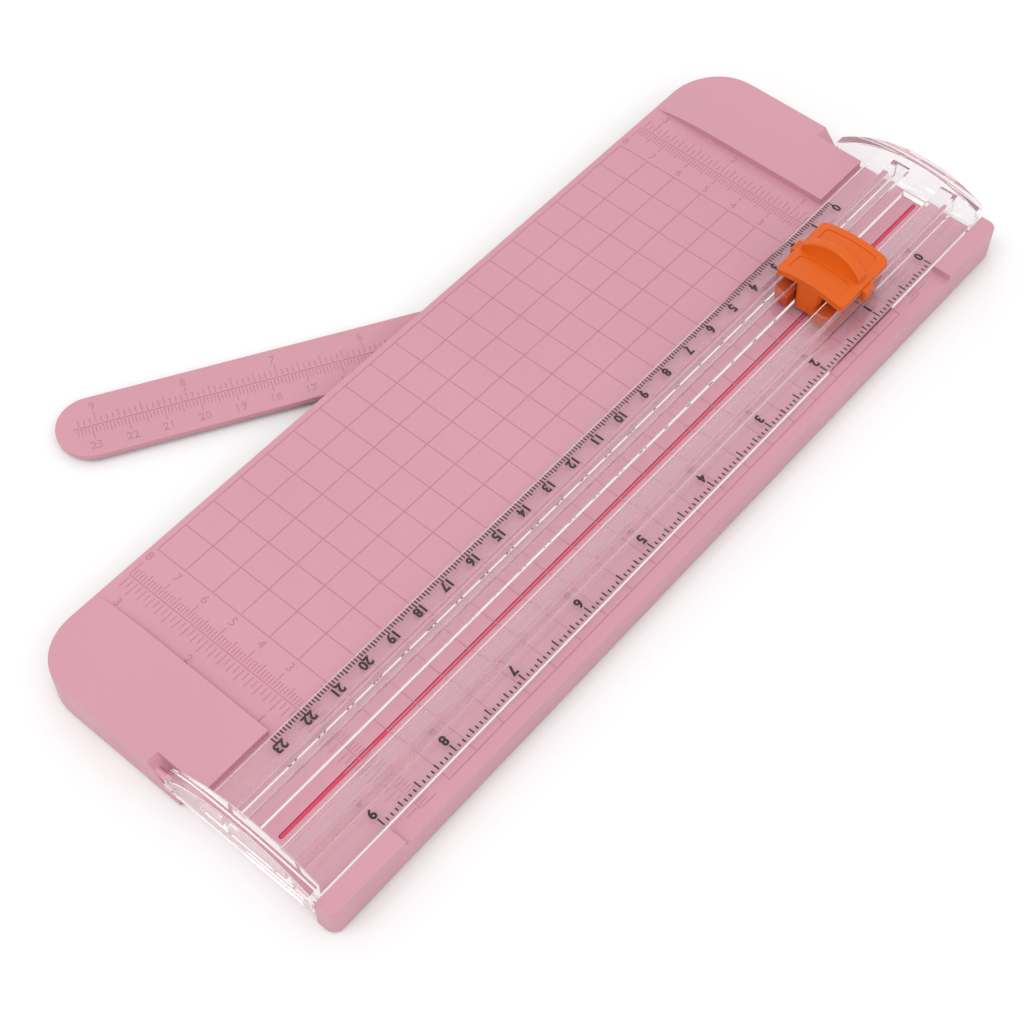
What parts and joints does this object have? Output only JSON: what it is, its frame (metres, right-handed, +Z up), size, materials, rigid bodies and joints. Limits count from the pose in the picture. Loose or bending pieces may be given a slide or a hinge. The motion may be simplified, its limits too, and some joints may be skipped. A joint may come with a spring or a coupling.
{
  "type": "paper trimmer",
  "caption": "Sliding-blade paper trimmer: flat ruled mat, hinged clear rail over a cutting strip, thumb-pressed blade carriage and a ruler that swings out from underneath.",
  "frame": {"origin": "centre of the middle rubber foot's underside, on the table, directly under the middle of the cut line", "axes": "+X along the cut from the end where the scales read zero to the rail's hinge, +Y from the cut line towards the rail's narrow side (the mat lies at -Y), +Z up from the table"},
  "size_m": [0.2798, 0.1599, 0.0278],
  "materials": {
    "pink_plastic": "satin moulded, with an engraved grid",
    "clear_plastic": "clear, polished",
    "orange_plastic": "satin moulded",
    "red_strip": "satin",
    "foot_rubber": "matt",
    "steel": "bright"
  },
  "bodies": {
    "base": {"base_shell": "pink_plastic", "cutting_strip": "red_strip", "pivot_screw": "steel", "pivot_washer": "steel", "friction_washer": "steel", "rubber_foot_1": "foot_rubber", "rubber_foot_2": "foot_rubber", "rubber_foot_3": "foot_rubber", "rubber_foot_4": "foot_rubber", "rubber_foot_5": "foot_rubber"},
    "rail": {"clear_rail": "clear_plastic"},
    "carriage": {"guide_shoe": "orange_plastic", "spring_front": "steel", "spring_rear": "steel"},
    "cutter": {"cutter_head": "orange_plastic", "blade_holder": "orange_plastic", "blade": "steel", "blade_pin": "steel"},
    "ruler": {"swing_ruler": "pink_plastic"}
  },
  "joints": [
    {"name": "rail_hinge", "type": "hinge", "parent": "base", "child": "rail", "pos_m": [0.1383, 0, 0.0084], "axis": [0, 1, 0], "range_deg": [0, 90]},
    {"name": "cutter_slide", "type": "slide", "parent": "rail", "child": "carriage", "axis": [1, 0, 0], "range_m": [-0.034, 0.209]},
    {"name": "cutter_press", "type": "slide", "parent": "carriage", "child": "cutter", "axis": [0, 0, 1], "range_m": [-0.0006, 0], "stiffness_N_per_m": 900, "springref_m": 0.002, "deforming": ["spring_front", "spring_rear"]},
    {"name": "ruler_swing", "type": "hinge", "parent": "base", "child": "ruler", "pos_m": [-0.105, -0.019, 0.0026], "axis": [0, 0, 1], "range_deg": [-59.5, 30.5]}
  ]
}
